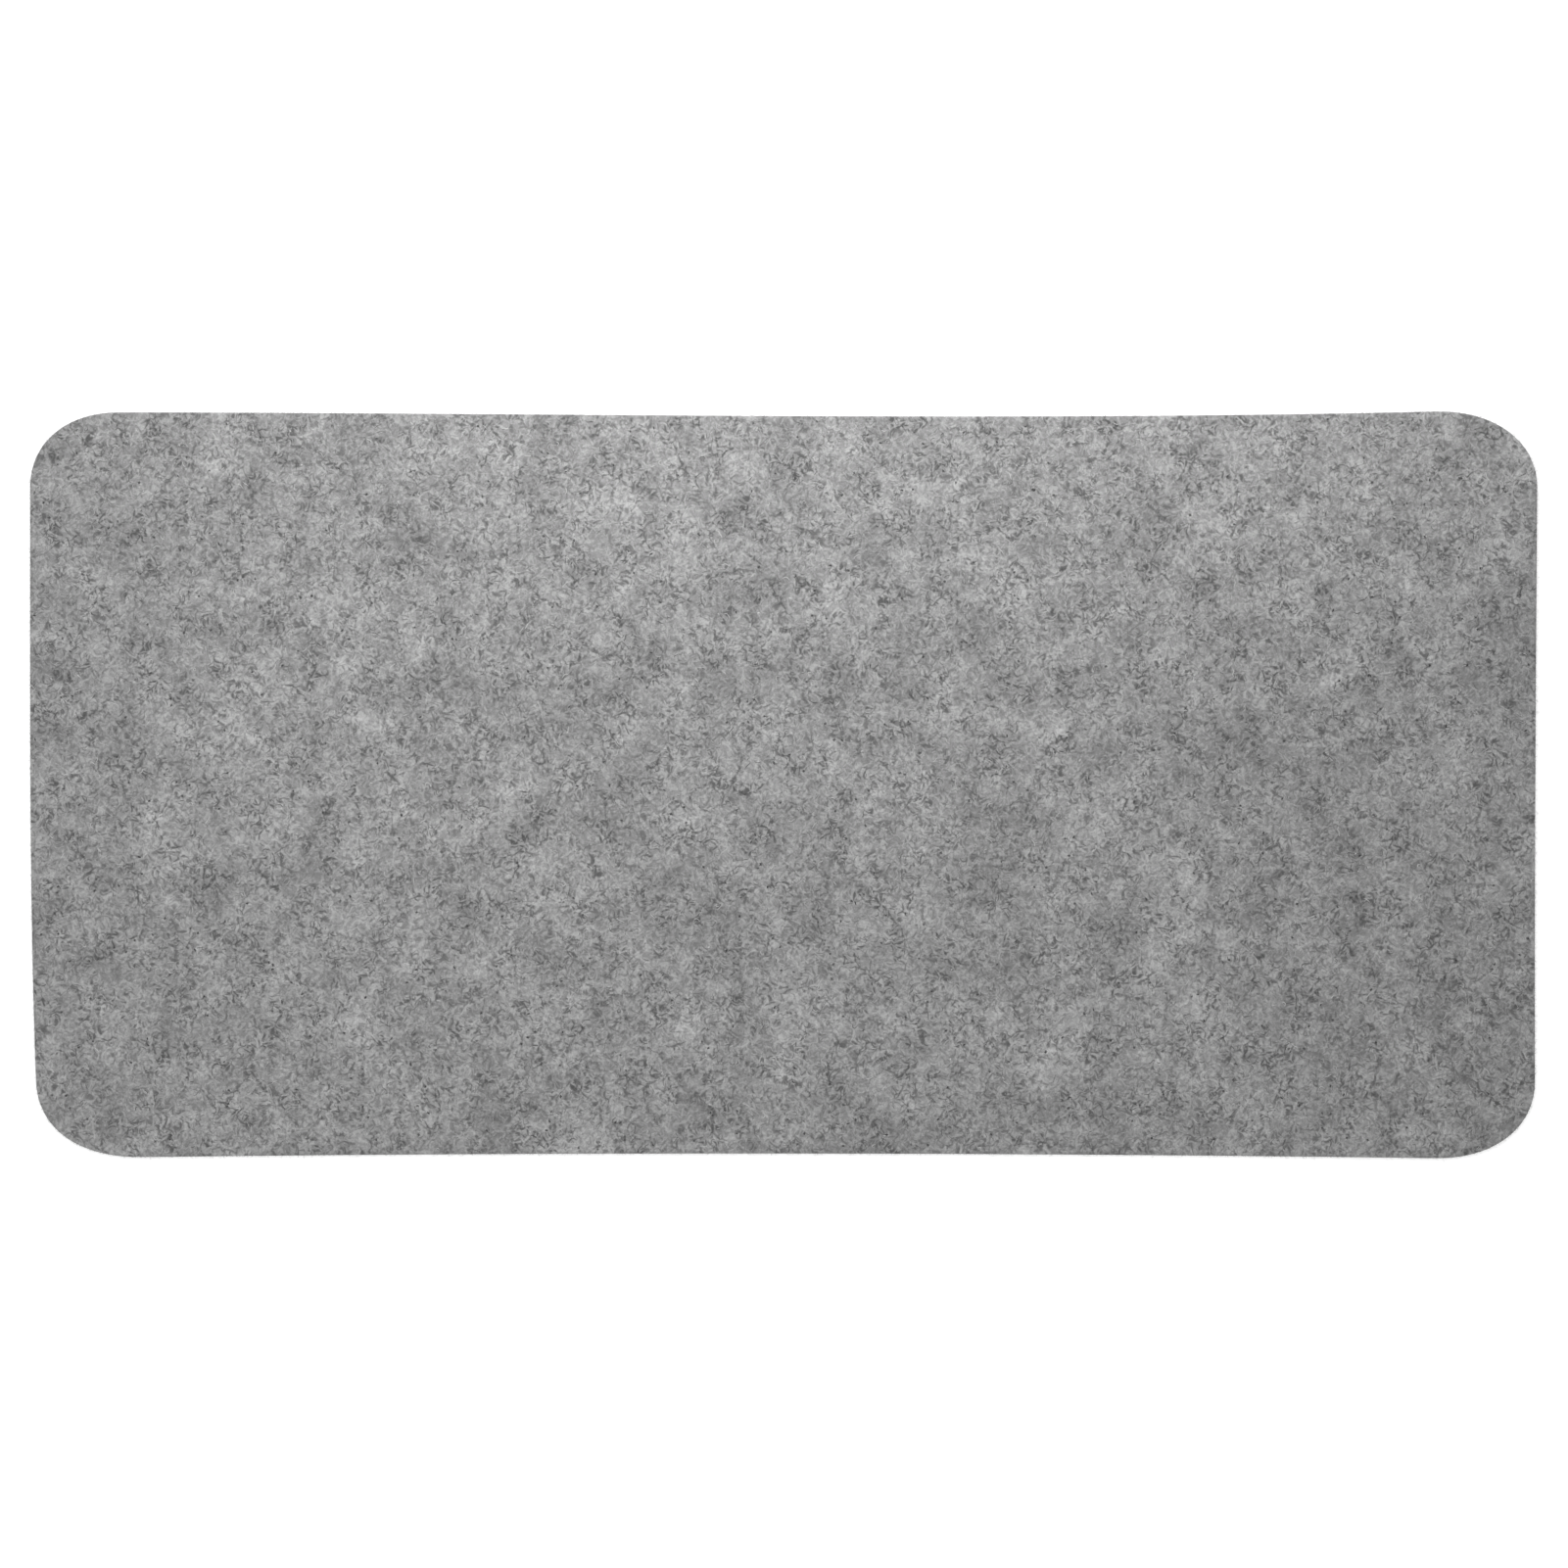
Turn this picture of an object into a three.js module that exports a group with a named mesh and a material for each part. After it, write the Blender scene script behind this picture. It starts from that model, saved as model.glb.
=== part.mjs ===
// A felt desk mat: a needle-punched felt sheet on a thin non-slip rubber backing, held together by a
// hot-melt bond film and die cut as one stack.
//
// Millimetres, +Z up. +X runs along the mat's length, +Y towards the back of the desk. The origin is the
// middle of the underside, on the desk top.

import * as THREE from "three";

// Driving dimensions.
const LENGTH = 670; // overall, along X
const DEPTH = 332; // overall, along Y, at its deepest near the corners

const BACKING_THICKNESS = 0.75;
const FILM_THICKNESS = 0.25;
const FELT_THICKNESS = 2;

// The cut outline, side by side, anticlockwise from the right-hand one. Felt relaxes after it is cut, so no
// side is quite straight. Each side is one cubic curve between two corners. It runs from "from" to "to",
// measured along the side from its middle, and at four places evenly spaced along it, its two ends and the
// thirds between them, it stands at the distances "out" from the middle of the mat.
const SIDES = [
  { facing: [1, 0], from: -132, to: 132, out: [334.0, 334.0, 334.4, 335.0] },
  { facing: [0, 1], from: -290, to: 295, out: [165.8, 163.6, 164.4, 165.4] },
  { facing: [-1, 0], from: -132, to: 132, out: [334.6, 334.6, 334.1, 332.0] },
  { facing: [0, -1], from: -285, to: 290, out: [165.7, 164.2, 164.4, 166.2] },
];
const CORNER_FULLNESS = 0.6; // handle length over reach: 0.552 is an ellipse, and more is squarer
const CURVE_STEPS = 20; // segments in each side and in each corner

// How far out the control points of a cubic Bezier curve stand, for it to pass through four distances.
function controlDistances([start, third, twoThirds, end]) {
  return [
    start,
    (-5 * start + 18 * third - 9 * twoThirds + 2 * end) / 6,
    (2 * start - 9 * third + 18 * twoThirds - 5 * end) / 6,
    end,
  ];
}

// The four control points of a side, walking anticlockwise.
function controlPoints(side) {
  const [fx, fy] = side.facing;
  return controlDistances(side.out).map((out, i) => {
    const along = THREE.MathUtils.lerp(side.from, side.to, i / (side.out.length - 1));
    return new THREE.Vector2(fx * out - fy * along, fy * out + fx * along);
  });
}

// The control point of a corner that carries a side straight on from "end", as far as the corner reaches.
function cornerHandle(beforeEnd, end, acrossCorner) {
  const direction = end.clone().sub(beforeEnd).normalize();
  const reach = acrossCorner.clone().sub(end).dot(direction);
  return end.clone().addScaledVector(direction, CORNER_FULLNESS * reach);
}

// The whole outline as a shape, centred on the origin and brought to its exact overall size.
function cutOutline() {
  const sides = SIDES.map(controlPoints);
  const path = new THREE.Path();
  path.moveTo(sides[0][0].x, sides[0][0].y);
  sides.forEach(([, first, second, end], i) => {
    const [nextStart, nextFirst] = sides[(i + 1) % sides.length];
    const leave = cornerHandle(second, end, nextStart);
    const arrive = cornerHandle(nextFirst, nextStart, end);
    path.bezierCurveTo(first.x, first.y, second.x, second.y, end.x, end.y);
    path.bezierCurveTo(leave.x, leave.y, arrive.x, arrive.y, nextStart.x, nextStart.y);
  });

  const points = path.getPoints(CURVE_STEPS);
  points.pop(); // the last point closes the path onto the first
  const box = new THREE.Box2().setFromPoints(points);
  const centre = box.getCenter(new THREE.Vector2());
  const scale = new THREE.Vector2(LENGTH, DEPTH).divide(box.getSize(new THREE.Vector2()));
  return new THREE.Shape(points.map((point) => point.sub(centre).multiply(scale)));
}

// One flat layer of the stack, standing at height "base".
function layer(name, outline, base, thickness, material) {
  const geometry = new THREE.ExtrudeGeometry(outline, { depth: thickness, bevelEnabled: false });
  const mesh = new THREE.Mesh(geometry, material);
  mesh.name = name;
  mesh.position.z = base;
  return mesh;
}

// Matt heather-grey polyester felt.
function feltMaterial() {
  return new THREE.MeshStandardMaterial({ color: 0x929292, roughness: 0.95, metalness: 0 });
}

// Milky hot-melt adhesive, seen only as a hairline at the rim.
function filmMaterial() {
  return new THREE.MeshStandardMaterial({ color: 0xb4b4ae, roughness: 0.5, metalness: 0 });
}

// Dark grey rubber.
function rubberMaterial() {
  return new THREE.MeshStandardMaterial({ color: 0x2b2b2c, roughness: 0.85, metalness: 0 });
}

function buildMat() {
  const outline = cutOutline();
  const feltBase = BACKING_THICKNESS + FILM_THICKNESS;
  return new THREE.Group().add(
    layer("grip_backing", outline, 0, BACKING_THICKNESS, rubberMaterial()),
    layer("bond_film", outline, BACKING_THICKNESS, FILM_THICKNESS, filmMaterial()),
    layer("felt_sheet", outline, feltBase, FELT_THICKNESS, feltMaterial()),
  );
}

export default buildMat();
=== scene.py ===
"""The looks of a felt desk mat: heather-grey needled felt on a thin grip rubber, lying on a pale floor.

Metres, in the CAD model's frame: +X to the right, +Y to the back, +Z up, the mat's underside on z = 0.
The CAD solids give the cut outline and the height of each layer. The felt and the rubber are made again
here as fine meshes with a worked surface, and loose fibres are laid on the felt and round its cut edge.
"""

import math

import bpy
import numpy as np
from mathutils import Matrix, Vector
from mathutils.geometry import delaunay_2d_cdt


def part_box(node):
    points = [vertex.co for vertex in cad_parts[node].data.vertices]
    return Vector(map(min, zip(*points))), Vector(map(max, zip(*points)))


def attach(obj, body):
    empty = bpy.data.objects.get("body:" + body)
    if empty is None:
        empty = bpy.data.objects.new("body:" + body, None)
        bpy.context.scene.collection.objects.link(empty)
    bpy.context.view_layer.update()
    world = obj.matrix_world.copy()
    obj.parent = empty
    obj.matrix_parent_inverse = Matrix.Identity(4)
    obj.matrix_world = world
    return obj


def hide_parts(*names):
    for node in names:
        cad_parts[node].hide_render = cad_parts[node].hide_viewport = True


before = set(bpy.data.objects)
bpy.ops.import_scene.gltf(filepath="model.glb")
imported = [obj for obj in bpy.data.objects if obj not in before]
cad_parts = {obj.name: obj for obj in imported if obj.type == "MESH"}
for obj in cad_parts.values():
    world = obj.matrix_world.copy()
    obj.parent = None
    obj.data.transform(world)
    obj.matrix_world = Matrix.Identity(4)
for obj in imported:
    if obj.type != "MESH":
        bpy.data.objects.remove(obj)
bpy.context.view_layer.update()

MM = 0.001

FELT_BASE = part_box("felt_sheet")[0].z
FELT_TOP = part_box("felt_sheet")[1].z
RUBBER_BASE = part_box("grip_backing")[0].z
RUBBER_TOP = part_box("grip_backing")[1].z
MAT_LENGTH, MAT_DEPTH = (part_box("felt_sheet")[1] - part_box("felt_sheet")[0]).xy

RIPPLES = 48  # faint ripples in each smooth random field
RIPPLE_SPREAD = (0.7, 1.5)  # a ripple's length, as a share of its field's
SLICE = 4000  # points measured against the outline in one go
KEEP_INSIDE = 1  # the triangulation's way of dropping what lies outside the outline
SAME_POINT = 1e-9  # metres within which it takes two points as one

# The felt's fine mesh.
FELT_PITCH = 1.85 * MM
FELT_SWELLS = [(40 * MM, 0.05 * MM), (14 * MM, 0.05 * MM), (7 * MM, 0.035 * MM)]  # ripple length, height
FELT_RIM = [(0.1, 0.0), (0.0, 0.4), (0.0, 1.6), (0.14, 1.88), (0.45, 1.98)]  # mm in from the cut, mm up
FELT_BORDER = 1.5 * MM  # from the cut edge to the first of the face's own points

# The rubber's underside, a field of small raised dots.
DOT_PITCH = 7 * MM
DOT_SIDES = 8
DOT_FOOT_RADIUS = 1.5 * MM
DOT_TIP_RADIUS = 1.0 * MM
DOT_HEIGHT = 0.25 * MM
DOT_BORDER = 3 * MM  # from the cut edge to the nearest dot's middle
RUBBER_RIM = [(0.0, 0.0), (0.0, 0.35), (0.12, 0.5)]  # mm in from the cut, mm down from the film

# Where the felt's strands and dark fibres crowd: ripples of these lengths and weights.
CROWDING = [(26 * MM, 0.5), (14 * MM, 0.6), (8 * MM, 0.62)]
CROWDING_SEED = 30
CROWDING_RANGE = (-2.0, 2.0)  # crowding where few fibres lie and where many do
CROWDED_STRANDS = (0.5, 1.5)  # how dark the dark strands are there

# Strands drawn in the felt's colour, in millimetres.
STRAND_LENGTH = 4.0
STRAND_WIDTH = 1.4
STRAND_CURL = 4.2  # the size of a curl
STRAND_STRAY = 4.0  # how far a curl carries a strand off its line
STRAND_HEADINGS = 4
STRAND_CREST = (0.57, 0.76)  # where on a noise's slope a strand begins and is full
HEADING_STEP = (7.3, 3.1, 11.7)  # how far one heading's noise is moved from the last one's
FINE_STRANDS = 0.28  # the size of the single fibres, as a share of the strands

# Fields of noise: the size of a bump in millimetres, and how finely it is detailed.
FLUFF = (1.2, 1.0)
PATCH = (8.0, 2.0)
MOTTLE = (21.0, 1.0)
CLOUD = (45.0, 1.0)
RUBBER_GRAIN = (0.9, 2.0)
RUBBER_BLOOM = (35.0, 3.0)
FILM_SMEAR = (6.0, 3.0)

# How a field is led astray: the size of a curl, how far it carries, and how finely it is detailed.
FLUFF_STRAY = (3.0, 2.5)
PATCH_STRAY = (9.0, 8.0, 1.0)

# Where each field is taken from its noise, in millimetres, so that no two are alike.
NOISE_PLACES = dict(
    dark=(5.0, 11.5, 3.5),
    pale=(19.0, 43.7, 13.3),
    fine=(23.0, 2.0, 8.0),
    fluff=(3.0, 11.0, 2.0),
    patch=(31.0, 7.0, 5.0),
    mottle=(11.0, 71.0, 15.0),
    cloud=(2528.0, 3254.0, 25.0),
    bloom=(9.0, 3.0, 1.0),
)

# Colours, as linear grey. Strands take away from or add to the felt's tone.
FELT_TONE = 0.28
DARK_STRANDS = 0.45
PALE_STRANDS = 0.36
FELT_SWINGS = (0.2, 0.38, 0.66, 0.74, 0.46)  # how far fibres, fluff, patches, mottles and clouds move it
RUBBER_TONE = 0.024
RUBBER_SWING = 0.5  # how far the grain and the bloom each move it
BLOOM_SLOPE = (0.3, 0.7)  # where on its noise the bloom begins and is full
BLOOM_ROUGHNESS = (0.72, 0.88)
FILM_TONE = 0.42
FILM_SWING = 0.5

# Bump, as its depth in millimetres.
FELT_BUMP = 0.12
FELT_BUMP_FINE = 0.5  # the single fibres' share of it, against the fluff's
RUBBER_BUMP = 0.05
FILM_BUMP = 0.05

# Loose fibres on the felt's face, their lengths and widths in millimetres. Those of a nep lie knotted over
# each other. crowd is how closely they keep to the crowded places, and tones gives each tone its share.
FIBRES = [
    dict(name="dark_fibres", seed=11, places=4400, length=(1.5, 4.5), width=(0.14, 0.34), crowd=0.7,
         tones={0.1: 0.5, 0.03: 0.5}),
    dict(name="pale_fibres", seed=12, places=4400, length=(1.5, 4.5), width=(0.12, 0.3), crowd=0.0,
         tones={0.33: 0.35, 0.42: 0.4, 0.6: 0.25}),
    dict(name="dark_neps", seed=13, places=880, knot=5, length=(0.9, 2.1), width=(0.22, 0.4), crowd=0.7,
         tones={0.1: 0.25, 0.02: 0.75}),
    dict(name="pale_neps", seed=14, places=250, knot=3, length=(0.7, 1.6), width=(0.18, 0.32), crowd=0.0,
         tones={0.45: 0.65, 0.62: 0.35}),
]
FIBRE_STEPS = 8  # points along a fibre
FIBRE_CURL = 2.0  # how far a fibre turns in all, in radians, give or take
FIBRE_WIGGLE = 0.25  # how far it turns from point to point, in radians, give or take
FIBRE_ARCH = 0.03 * MM  # how far a fibre's middle stands above its ends
FIBRE_SUNK = 0.02 * MM  # how far its ends are pressed into the face
FIBRE_BORDER = 1.0 * MM  # the least distance from a fibre to the cut edge
FIBRE_FLATNESS = 0.3  # a fibre's height, as a share of its width
FIBRE_TIP = 0.25  # its width at the tips, as a share of its middle's
FIBRE_TAPER = 0.7  # how soon it swells from the tips: less is sooner
PLACES_TRIED = 4  # places drawn for each one wanted

# Short fine hairs that stand out from the cut edge. How a hair heads and bends is given as shares of its
# reach: FUZZ_ASIDE and FUZZ_BEND are give or take, and the two rises are ranges.
FUZZ_SEED = 21
FUZZ_PITCH = 0.36 * MM  # from hair to hair along the cut edge
FUZZ_STEPS = 6
FUZZ_ROOT = 0.2 * MM  # how far inside the cut edge a hair starts
FUZZ_ABOVE_BASE = 0.5 * MM  # the lowest hair, above the felt's base
FUZZ_BELOW_TOP = 0.15 * MM  # the highest hair, below the felt's top
FUZZ_ASIDE = 0.9
FUZZ_RISE = (-0.4, 0.6)
FUZZ_BEND = 0.8
FUZZ_BEND_RISE = (-0.3, 0.5)
FUZZ_REACH = (0.2 * MM, 1.0 * MM)
FUZZ_WIDTH = (0.05, 0.1)  # in millimetres
FUZZ_TONES = {0.28: 0.5, 0.42: 0.3, 0.12: 0.2}

# The camera hangs straight over the mat.
LENS = 85.0
SENSOR = 36.0
VIEW_WIDTH = 696.9 * MM  # how much of the felt's plane it sees
VIEW_CENTRE = (0.14 * MM, 0.38 * MM)

# A soft light overhead and a low strip close behind the mat, which lifts its back edge. Metres and watts.
LIGHTS = [
    dict(name="overhead", place=(-0.14, 0.2, 0.8), target=(-0.2, 0.0, 0.0), size=(0.5, 0.5), power=4.2),
    dict(name="back_strip", place=(0.04, 0.3, 0.1), target=(0.04, 0.0, 0.0), size=(0.6, 0.06), power=0.56),
]
WORLD_STRENGTH = 0.43
HORIZON_BAND = (0.1, 0.3)  # sine of the height in the sky over which white fades to WORLD_STRENGTH
FLOOR_SIZE = 12.0
FLOOR_TONE = 0.5
FLOOR_GLOW = 0.72  # keeps the floor white where the light falls off


# ---------------------------------------------------------------- outline and fields

def cut_outline(node):
    """A CAD layer's outline as x, y points, anticlockwise."""
    points = {(round(v.co.x, 7), round(v.co.y, 7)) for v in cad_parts[node].data.vertices}
    return np.array(sorted(points, key=lambda p: math.atan2(p[1], p[0])))


def walk(outline, pitch):
    """Points spaced evenly along the outline, about pitch apart, and their outward normals."""
    closed = np.vstack([outline, outline[:1]])
    steps = np.linalg.norm(np.diff(closed, axis=0), axis=1)
    along = np.concatenate([[0.0], np.cumsum(steps)])
    stations = np.linspace(0.0, along[-1], round(along[-1] / pitch), endpoint=False)
    points = np.column_stack([np.interp(stations, along, closed[:, i]) for i in (0, 1)])
    ahead = np.roll(points, -1, axis=0) - np.roll(points, 1, axis=0)
    ahead /= np.linalg.norm(ahead, axis=1)[:, None]
    return points, np.column_stack([ahead[:, 1], -ahead[:, 0]])


def depth_inside(points, outline):
    """How far inside the outline each point lies, and less than nothing outside it."""
    spans = np.roll(outline, -1, axis=0) - outline
    depth = np.empty(len(points))
    for part in np.array_split(np.arange(len(points)), 1 + len(points) // SLICE):
        offset = points[part, None] - outline
        share = np.clip((offset * spans).sum(2) / (spans**2).sum(1), 0, 1)
        apart = np.linalg.norm(offset - share[..., None] * spans, axis=2)
        nearest = apart.argmin(1)
        row = np.arange(len(part))
        to_left = spans[nearest, 0] * offset[row, nearest, 1] - spans[nearest, 1] * offset[row, nearest, 0]
        depth[part] = np.copysign(apart[row, nearest], to_left)
    return depth


def hex_grid(outline, pitch, margin):
    """Points in even triangles over the whole mat, at least margin inside its outline."""
    row_step = pitch * math.sqrt(3) / 2
    rows = np.arange(-MAT_DEPTH / 2, MAT_DEPTH / 2, row_step)
    columns = np.arange(-MAT_LENGTH / 2, MAT_LENGTH / 2, pitch)
    x, y = np.meshgrid(columns, rows)
    x[::2] += pitch / 2
    points = np.column_stack([x.ravel(), y.ravel()])
    return points[depth_inside(points, outline) > margin]


def ripples(points, length, seed):
    """A smooth random field with no grid in it: faint ripples of about one length, from all sides."""
    rng = np.random.default_rng(seed)
    heading = rng.uniform(0, 2 * np.pi, RIPPLES)
    number = 2 * np.pi / (length * rng.uniform(*RIPPLE_SPREAD, RIPPLES))
    phase = rng.uniform(0, 2 * np.pi, RIPPLES)
    k = np.column_stack([np.cos(heading), np.sin(heading)]) * number[:, None]
    return np.sin(points @ k.T + phase).sum(1) * math.sqrt(2 / RIPPLES)


def felt_height(points):
    """The height of the felt's worked face over x, y points."""
    height = np.full(len(points), FELT_TOP)
    for seed, (length, swell) in enumerate(FELT_SWELLS):
        height += swell * ripples(points, length, seed)
    return height


def crowding(points):
    """How thickly fibres lie over x, y points: about 0, give or take 1."""
    total = 0.0
    for i, (length, weight) in enumerate(CROWDING):
        total = total + weight * ripples(points, length, CROWDING_SEED + i)
    return total


# ---------------------------------------------------------------- meshes

def make_piece(name, points, faces, materials, face_slots=None):
    """A mesh object in the row frame that rides on the mat's one body."""
    mesh = bpy.data.meshes.new(name)
    mesh.from_pydata(points, [], faces)
    for material in materials:
        mesh.materials.append(material)
    if face_slots is not None:
        mesh.polygons.foreach_set("material_index", face_slots)
    mesh.polygons.foreach_set("use_smooth", np.ones(len(faces), bool))
    mesh.update()
    piece = bpy.data.objects.new(name, mesh)
    bpy.context.scene.collection.objects.link(piece)
    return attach(piece, "root")


def ring_faces(first, second, count):
    """Quads between two rings of count points. Seen from outside, second is above first."""
    i = np.arange(count)
    after = (i + 1) % count
    return np.column_stack([first + i, first + after, second + after, second + i]).tolist()


def sheet_mesh(outline, rim, back_z, upward, inner, inner_z, edge_z):
    """Points and faces of a closed sheet with a flat back and a worked face.

    rim lists its rings from the back to the worked face, as (in from the outline, away from the back), in
    mm. inner and inner_z are the worked face's own points, and edge_z gives its height at the last ring.
    """
    base, normals = walk(outline, FELT_PITCH)
    count = len(base)
    sense = 1 if upward else -1
    points = []
    for inset, rise in rim:
        ring = base - normals * inset * MM
        points.append(np.column_stack([ring, np.full(count, back_z + sense * rise * MM)]))
    last = points[-1]
    last[:, 2] = edge_z(last[:, :2], last[:, 2])
    flat = np.vstack([last[:, :2], inner])
    face_z = np.concatenate([last[:, 2], inner_z])

    border = list(range(count))
    filled = delaunay_2d_cdt(flat.tolist(), [], [border], KEEP_INSIDE, SAME_POINT, False)
    triangles = np.array(filled[2])
    triangles = triangles[triangles.max(axis=1) >= count]  # the others only bridge the sides' hollows
    triangles = (triangles + count * (len(rim) - 1)).tolist()
    points = np.vstack([*points[:-1], np.column_stack([flat, face_z])])
    walls = []
    for i in range(len(rim) - 1):
        walls += ring_faces(count * i, count * (i + 1), count)
    faces = [border[::-1], *walls, *triangles]
    if not upward:
        faces = [face[::-1] for face in faces]
    return points, faces


def curly_paths(rng, count, length):
    """count curly lines of a length in this range, as x, y offsets from their own middles."""
    along = np.linspace(-0.5, 0.5, FIBRE_STEPS)
    heading = rng.uniform(0, 2 * np.pi, (count, 1)) + rng.normal(0, FIBRE_CURL, (count, 1)) * along
    heading = heading + np.cumsum(rng.normal(0, FIBRE_WIGGLE, (count, FIBRE_STEPS)), axis=1)
    step = rng.uniform(*length, (count, 1)) * MM / (FIBRE_STEPS - 1)
    path = np.stack([np.cumsum(np.cos(heading) * step, 1), np.cumsum(np.sin(heading) * step, 1)], axis=2)
    return path - path.mean(axis=1, keepdims=True)


def fibre_mesh(paths, widths):
    """Points and faces of three-sided tapered tubes along paths, each closed at both ends."""
    count, steps, _ = paths.shape
    ahead = np.gradient(paths, axis=1)
    ahead /= np.linalg.norm(ahead, axis=2, keepdims=True)
    side = np.cross(ahead, [0.0, 0.0, 1.0])
    side /= np.linalg.norm(side, axis=2, keepdims=True)
    up = np.cross(side, ahead)
    taper = FIBRE_TIP + (1 - FIBRE_TIP) * np.sin(np.linspace(0, np.pi, steps)) ** FIBRE_TAPER
    half = (widths[:, None] * taper / 2)[..., None]
    ridge = paths + up * half * 2 * FIBRE_FLATNESS
    points = np.stack([paths + side * half, ridge, paths - side * half], axis=2).reshape(-1, 3)

    strand = []
    for i in range(steps - 1):
        a, b = 3 * i, 3 * i + 3  # the first corners of this ring and the next
        for j in range(3):
            k = (j + 1) % 3
            strand.append([a + k, a + j, b + j])
            strand.append([a + k, b + j, b + k])
    strand.append([0, 1, 2])
    end = 3 * (steps - 1)
    strand.append([end + 2, end + 1, end])
    strand = np.array(strand)
    faces = (np.arange(count)[:, None, None] * 3 * steps + strand).reshape(-1, 3)
    return points, faces.tolist(), len(strand)


# ---------------------------------------------------------------- materials

def node(tree, kind, inputs=None, **settings):
    """A new node. Each input takes a plain value or another node's output."""
    made = tree.nodes.new(kind)
    for key, value in settings.items():
        setattr(made, key, value)
    for key, value in (inputs or {}).items():
        if isinstance(value, bpy.types.NodeSocket):
            tree.links.new(value, made.inputs[key])
        else:
            made.inputs[key].default_value = value
    return made


def maths(tree, operation, *values):
    return node(tree, "ShaderNodeMath", dict(enumerate(values)), operation=operation).outputs[0]


def vector_maths(tree, operation, *values):
    return node(tree, "ShaderNodeVectorMath", dict(enumerate(values)), operation=operation).outputs[0]


def scaled(tree, at, factor):
    """The place at, times factor."""
    return node(tree, "ShaderNodeVectorMath", {0: at, "Scale": factor}, operation="SCALE").outputs[0]


def product(tree, *values):
    """All the values multiplied together."""
    result = values[0]
    for value in values[1:]:
        result = maths(tree, "MULTIPLY", result, value)
    return result


def noise(tree, at, size, detail=0.0, output="Fac"):
    """Smooth noise with bumps about size millimetres across, around 0.5."""
    inputs = {"Vector": at, "Scale": 1 / size, "Detail": detail, "Roughness": 0.5}
    return node(tree, "ShaderNodeTexNoise", inputs).outputs[output]


def shifted(tree, at, offset):
    """The place at, moved by offset millimetres, so that two noises of one size differ."""
    return vector_maths(tree, "ADD", at, offset)


def astray(tree, at, size, reach, detail=0.0):
    """The place at, led up to half of reach astray by noise, so that what is drawn there curls."""
    sway = vector_maths(tree, "SUBTRACT", noise(tree, at, size, detail, output="Color"), (0.5, 0.5, 0.5))
    return vector_maths(tree, "MULTIPLY_ADD", sway, (reach, reach, reach), at)


def ramp(tree, value, low, high, to_low=0.0, to_high=1.0):
    """value taken smoothly from low..high to to_low..to_high, and held beyond them."""
    inputs = {"Value": value, "From Min": low, "From Max": high, "To Min": to_low, "To Max": to_high}
    return node(tree, "ShaderNodeMapRange", inputs, interpolation_type="SMOOTHSTEP").outputs[0]


def swing(tree, value, amount):
    """1, give or take: value's distance from 0.5, times amount, added to 1."""
    return maths(tree, "MULTIPLY_ADD", value, amount, 1 - amount / 2)


def strands(tree, at, offset):
    """1 on short curly strands that lie every way: crests of noises drawn out in turn along each heading."""
    curled = astray(tree, shifted(tree, at, offset), STRAND_CURL, STRAND_STRAY)
    squeeze = (1 / STRAND_LENGTH, 1 / STRAND_WIDTH, 1 / STRAND_WIDTH)
    crest = 0.0
    for i in range(STRAND_HEADINGS):
        place = shifted(tree, curled, [step * i for step in HEADING_STEP])
        inputs = {"Vector": place, "Angle": math.pi * i / STRAND_HEADINGS}
        turned = node(tree, "ShaderNodeVectorRotate", inputs, rotation_type="Z_AXIS").outputs[0]
        drawn_out = noise(tree, vector_maths(tree, "MULTIPLY", turned, squeeze), 1.0)
        crest = maths(tree, "MAXIMUM", crest, drawn_out)
    return ramp(tree, crest, *STRAND_CREST)


def relief(tree, shader, height, depth):
    """Bump of the given depth in millimetres, from a height between 0 and 1."""
    bump = node(tree, "ShaderNodeBump", {"Height": height, "Distance": depth * MM, "Strength": 1.0})
    tree.links.new(bump.outputs[0], shader.inputs["Normal"])


def new_material(name, **values):
    """A material with a Principled shader, its tree, and the place on the object in millimetres."""
    material = bpy.data.materials.new(name)
    material.use_nodes = True
    tree = material.node_tree
    shader = tree.nodes["Principled BSDF"]
    for key, value in values.items():
        shader.inputs[key.replace("_", " ").title()].default_value = value
    place = node(tree, "ShaderNodeTexCoord").outputs["Object"]
    return material, tree, shader, scaled(tree, place, 1 / MM)


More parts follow.
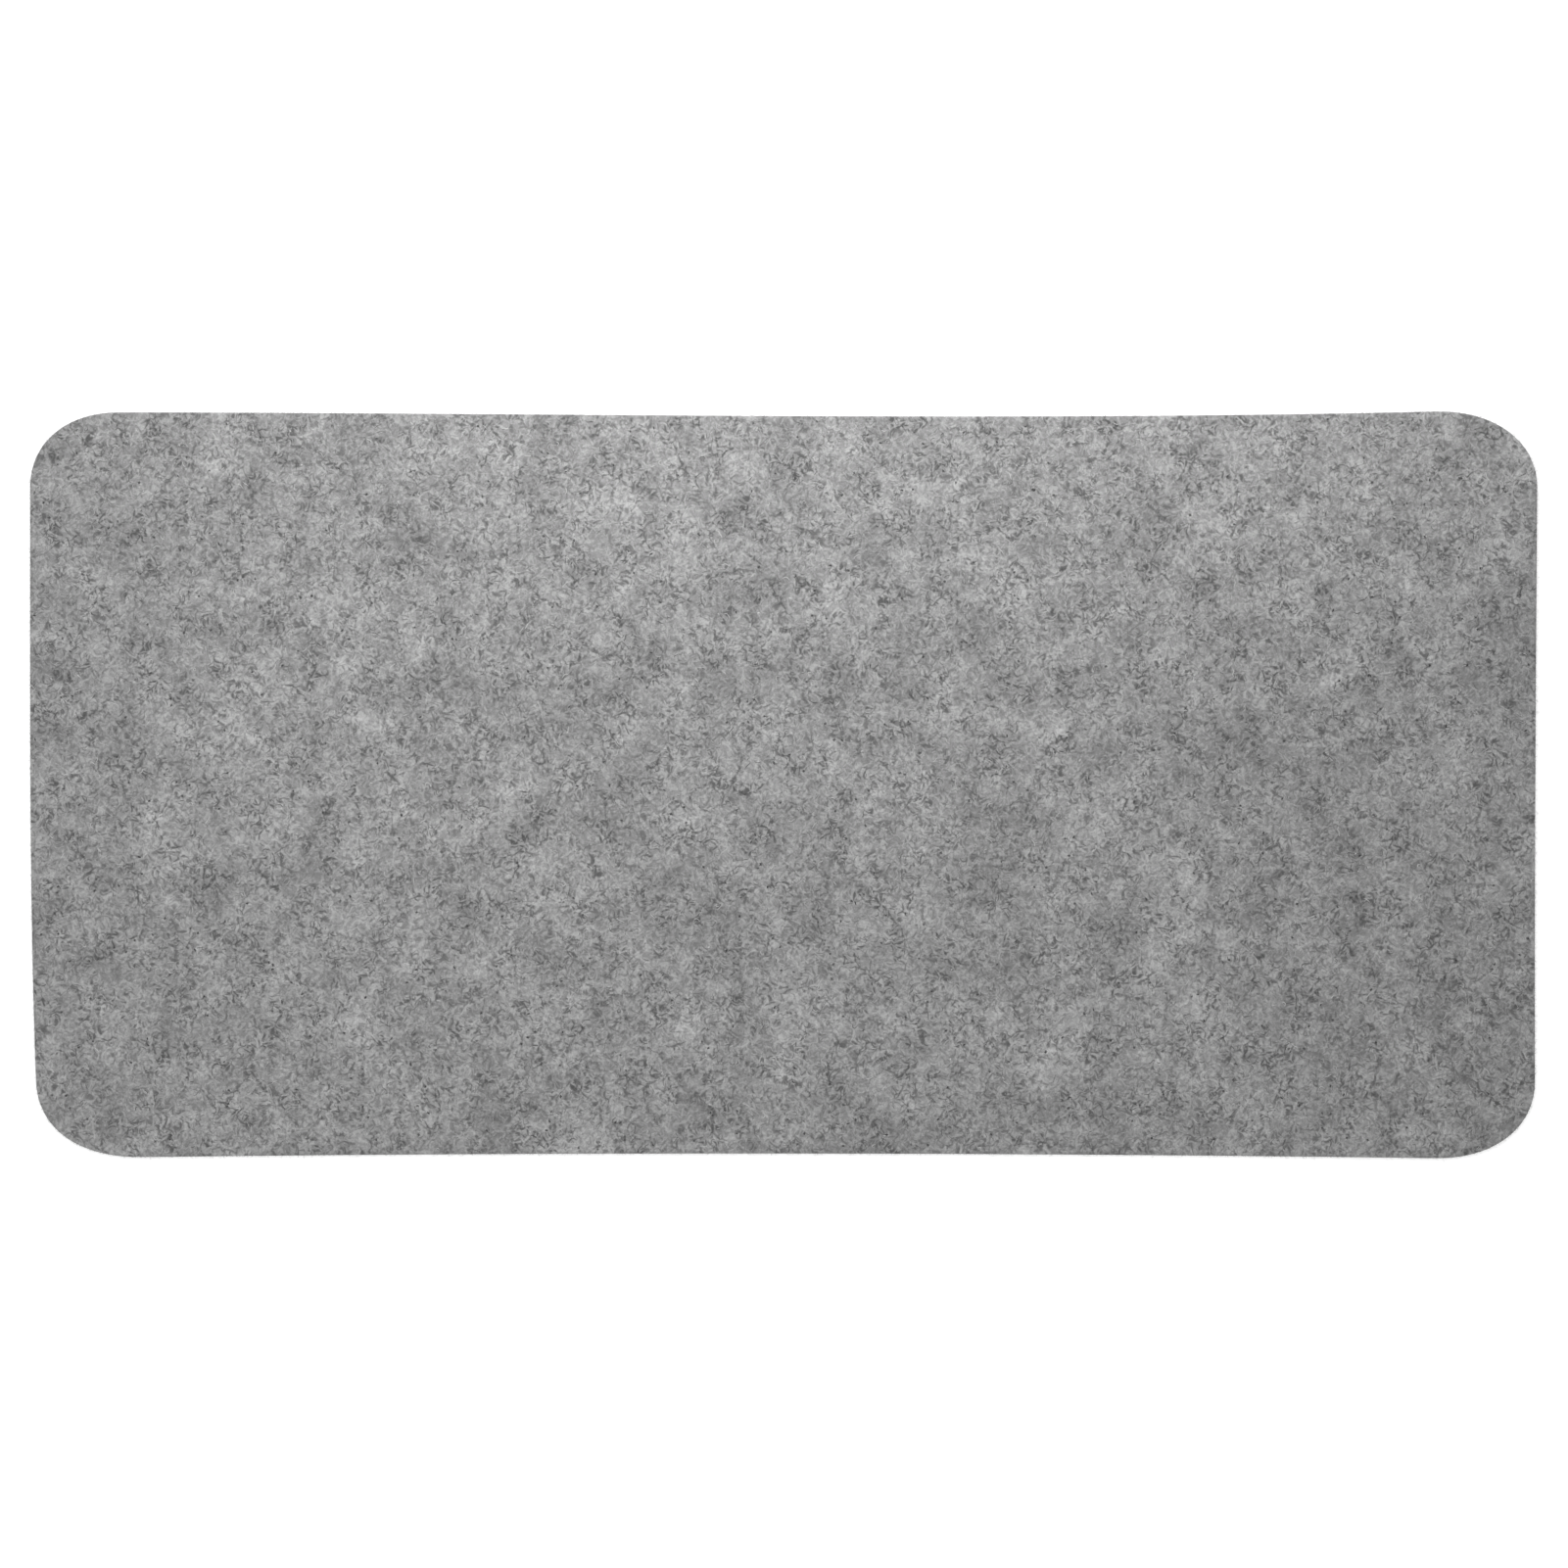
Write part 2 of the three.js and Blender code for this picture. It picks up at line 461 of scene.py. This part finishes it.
def felt_material():
    """Heather felt: dark and pale strands all over, thicker in some patches, in soft clouds of grey."""
    material, tree, shader, at = new_material("felt", roughness=0.92, sheen_weight=0.15, sheen_roughness=0.6)
    dark = strands(tree, at, NOISE_PLACES["dark"])
    pale = strands(tree, at, NOISE_PLACES["pale"])
    fine = strands(tree, scaled(tree, at, 1 / FINE_STRANDS), NOISE_PLACES["fine"])
    fluff = noise(tree, astray(tree, shifted(tree, at, NOISE_PLACES["fluff"]), *FLUFF_STRAY), *FLUFF)
    patch = noise(tree, shifted(tree, astray(tree, at, *PATCH_STRAY), NOISE_PLACES["patch"]), *PATCH)
    mottle = noise(tree, shifted(tree, at, NOISE_PLACES["mottle"]), *MOTTLE)
    cloud = noise(tree, shifted(tree, at, NOISE_PLACES["cloud"]), *CLOUD)

    crowd = node(tree, "ShaderNodeAttribute", attribute_name="crowding").outputs["Fac"]
    crowded = product(tree, dark, ramp(tree, crowd, *CROWDING_RANGE, *CROWDED_STRANDS))
    strand_tone = maths(tree, "MULTIPLY_ADD", crowded, -DARK_STRANDS, 1.0)
    strand_tone = maths(tree, "MULTIPLY_ADD", pale, PALE_STRANDS, strand_tone)
    fields = (fine, fluff, patch, mottle, cloud)
    swings = [swing(tree, value, amount) for value, amount in zip(fields, FELT_SWINGS)]
    tree.links.new(product(tree, strand_tone, *swings, FELT_TONE), shader.inputs["Base Color"])

    relief(tree, shader, maths(tree, "MULTIPLY_ADD", fine, FELT_BUMP_FINE, fluff), FELT_BUMP)
    return material


def rubber_material():
    """Matt dark rubber with a fine foamed grain and a little bloom."""
    material, tree, shader, at = new_material("backing_rubber")
    grain = noise(tree, at, *RUBBER_GRAIN)
    bloom = noise(tree, shifted(tree, at, NOISE_PLACES["bloom"]), *RUBBER_BLOOM)
    tone = product(tree, swing(tree, bloom, RUBBER_SWING), swing(tree, grain, RUBBER_SWING), RUBBER_TONE)
    tree.links.new(tone, shader.inputs["Base Color"])
    tree.links.new(ramp(tree, bloom, *BLOOM_SLOPE, *BLOOM_ROUGHNESS), shader.inputs["Roughness"])
    relief(tree, shader, grain, RUBBER_BUMP)
    return material


def film_material():
    """Milky adhesive, thinner in some places than in others."""
    material, tree, shader, at = new_material("bond_adhesive", roughness=0.5)
    smear = noise(tree, at, *FILM_SMEAR)
    tree.links.new(product(tree, swing(tree, smear, FILM_SWING), FILM_TONE), shader.inputs["Base Color"])
    relief(tree, shader, smear, FILM_BUMP)
    return material


def fibre_material(name, tone):
    """One dyed polyester fibre is the same colour all along."""
    material, _, shader, _ = new_material(name, roughness=0.7, sheen_weight=0.3)
    shader.inputs["Base Color"].default_value = (tone, tone, tone, 1.0)
    return material


# ---------------------------------------------------------------- the object's pieces

def make_felt(outline):
    """The felt, swelling gently, with the crowding of its fibres on each point for its material."""
    inner = hex_grid(outline, FELT_PITCH, FELT_BORDER)

    def edge_z(points, z):
        return z + felt_height(points) - FELT_TOP

    points, faces = sheet_mesh(outline, FELT_RIM, FELT_BASE, True, inner, felt_height(inner), edge_z)
    piece = make_piece("felt_face", points, faces, [felt_material()])
    crowd = piece.data.attributes.new("crowding", "FLOAT", "POINT")
    crowd.data.foreach_set("value", crowding(points[:, :2]))
    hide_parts("felt_sheet")
    return piece


def make_rubber(outline):
    """The grip backing, face down, with its field of dots."""
    centres = hex_grid(outline, DOT_PITCH, DOT_BORDER)
    angle = np.arange(DOT_SIDES) * 2 * np.pi / DOT_SIDES
    ring = np.column_stack([np.cos(angle), np.sin(angle)])
    feet = (centres[:, None] + ring * DOT_FOOT_RADIUS).reshape(-1, 2)
    tips = (centres[:, None] + ring * DOT_TIP_RADIUS).reshape(-1, 2)
    heights = np.repeat([RUBBER_BASE + DOT_HEIGHT, RUBBER_BASE], len(feet))
    inner = np.vstack([feet, tips])
    points, faces = sheet_mesh(outline, RUBBER_RIM, RUBBER_TOP, False, inner, heights, lambda _, z: z)
    piece = make_piece("backing_moulding", points, faces, [rubber_material()])
    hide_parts("grip_backing")


def make_fibres(name, rng, paths, width, tones):
    """A piece of loose fibres along paths. tones maps each fibre tone to its share."""
    points, faces, per_fibre = fibre_mesh(paths, rng.uniform(*width, len(paths)) * MM)
    materials = [fibre_material(f"{name}_{i}", tone) for i, tone in enumerate(tones)]
    slots = np.repeat(rng.choice(len(tones), len(paths), p=list(tones.values())), per_fibre)
    piece = make_piece(name, points, faces, materials, slots)


def lay_fibres(outline, name, seed, places, length, width, crowd, tones, knot=1):
    """Loose fibres pressed flat on the felt's face, knot of them in each place."""
    rng = np.random.default_rng(seed)
    middle = rng.uniform(-0.5, 0.5, (PLACES_TRIED * places, 2)) * (MAT_LENGTH, MAT_DEPTH)
    crowded = crowd * crowding(middle) > rng.normal(0.0, 1.0, len(middle))
    middle = np.repeat(middle[crowded][:places], knot, axis=0)
    flat = curly_paths(rng, len(middle), length) + middle[:, None]
    depth = depth_inside(flat.reshape(-1, 2), outline).reshape(len(flat), -1).min(axis=1)
    flat = flat[depth > FIBRE_BORDER]
    z = felt_height(flat.reshape(-1, 2)).reshape(*flat.shape[:2], 1)
    arch = FIBRE_ARCH * np.sin(np.linspace(0, np.pi, FIBRE_STEPS))[None, :, None]
    make_fibres(name, rng, np.concatenate([flat, z + arch - FIBRE_SUNK], axis=2), width, tones)


def fuzz_rim(outline):
    """Short fine hairs that stand out from the felt's cut edge."""
    rng = np.random.default_rng(FUZZ_SEED)
    roots, normals = walk(outline, FUZZ_PITCH)
    count = len(roots)
    height = rng.uniform(FELT_BASE + FUZZ_ABOVE_BASE, FELT_TOP - FUZZ_BELOW_TOP, count)
    tangents = np.column_stack([-normals[:, 1], normals[:, 0]])
    aside = tangents * rng.normal(0, FUZZ_ASIDE, (count, 1))
    heading = np.column_stack([normals + aside, rng.uniform(*FUZZ_RISE, count)])
    bend = np.column_stack([rng.normal(0, FUZZ_BEND, (count, 2)), rng.uniform(*FUZZ_BEND_RISE, count)])
    reach = rng.uniform(*FUZZ_REACH, count)[:, None, None]
    share = np.linspace(0, 1, FUZZ_STEPS)[None, :, None]
    start = np.column_stack([roots - normals * FUZZ_ROOT, height])[:, None]
    paths = start + reach * (heading[:, None] * share + bend[:, None] * share**2)
    make_fibres("rim_fuzz", rng, paths, FUZZ_WIDTH, FUZZ_TONES)


# ---------------------------------------------------------------- staging

def add_light(name, place, target, size, power):
    """A soft rectangular light at place, facing target."""
    data = bpy.data.lights.new(name, "AREA")
    data.shape = "RECTANGLE"
    data.size, data.size_y = size
    data.energy = power
    light = bpy.data.objects.new(name, data)
    light.location = place
    light.rotation_euler = (Vector(target) - Vector(place)).to_track_quat("-Z", "Y").to_euler()
    light.visible_camera = False
    bpy.context.scene.collection.objects.link(light)


def add_camera():
    data = bpy.data.cameras.new("camera")
    data.lens = LENS
    data.sensor_width = SENSOR
    camera = bpy.data.objects.new("camera", data)
    camera.location = (*VIEW_CENTRE, FELT_TOP + VIEW_WIDTH * LENS / SENSOR)
    bpy.context.scene.collection.objects.link(camera)
    bpy.context.scene.camera = camera


def add_floor():
    half = FLOOR_SIZE / 2
    corners = [(-half, -half, 0), (half, -half, 0), (half, half, 0), (-half, half, 0)]
    mesh = bpy.data.meshes.new("floor")
    mesh.from_pydata(corners, [], [(0, 1, 2, 3)])
    material, _, shader, _ = new_material("floor", roughness=0.9)
    shader.inputs["Base Color"].default_value = (FLOOR_TONE, FLOOR_TONE, FLOOR_TONE, 1)
    shader.inputs["Emission Color"].default_value = (1, 1, 1, 1)
    shader.inputs["Emission Strength"].default_value = FLOOR_GLOW
    mesh.materials.append(material)
    floor = bpy.data.objects.new("floor", mesh)
    bpy.context.scene.collection.objects.link(floor)


def add_world():
    """Soft light from all round, and white near the horizon so that the floor's far edge doesn't show."""
    world = bpy.data.worlds.new("studio")
    world.use_nodes = True
    tree = world.node_tree
    gaze = node(tree, "ShaderNodeTexCoord").outputs["Generated"]
    up = node(tree, "ShaderNodeSeparateXYZ", {0: gaze}).outputs["Z"]
    strength = ramp(tree, up, *HORIZON_BAND, 1.0, WORLD_STRENGTH)
    tree.links.new(strength, tree.nodes["Background"].inputs["Strength"])
    tree.nodes["Background"].inputs["Color"].default_value = (1, 1, 1, 1)
    bpy.context.scene.world = world


# ---------------------------------------------------------------- the scene

bpy.context.scene.view_settings.view_transform = "Standard"
add_camera()
add_floor()
add_world()
for light in LIGHTS:
    add_light(**light)

felt_outline = cut_outline("felt_sheet")
felt = make_felt(felt_outline)
make_rubber(cut_outline("grip_backing"))
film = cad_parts["bond_film"]  # the film keeps its CAD shape and takes only a material
film.data.materials.clear()
film.data.materials.append(film_material())
for fibres in FIBRES:
    lay_fibres(felt_outline, **fibres)
fuzz_rim(felt_outline)
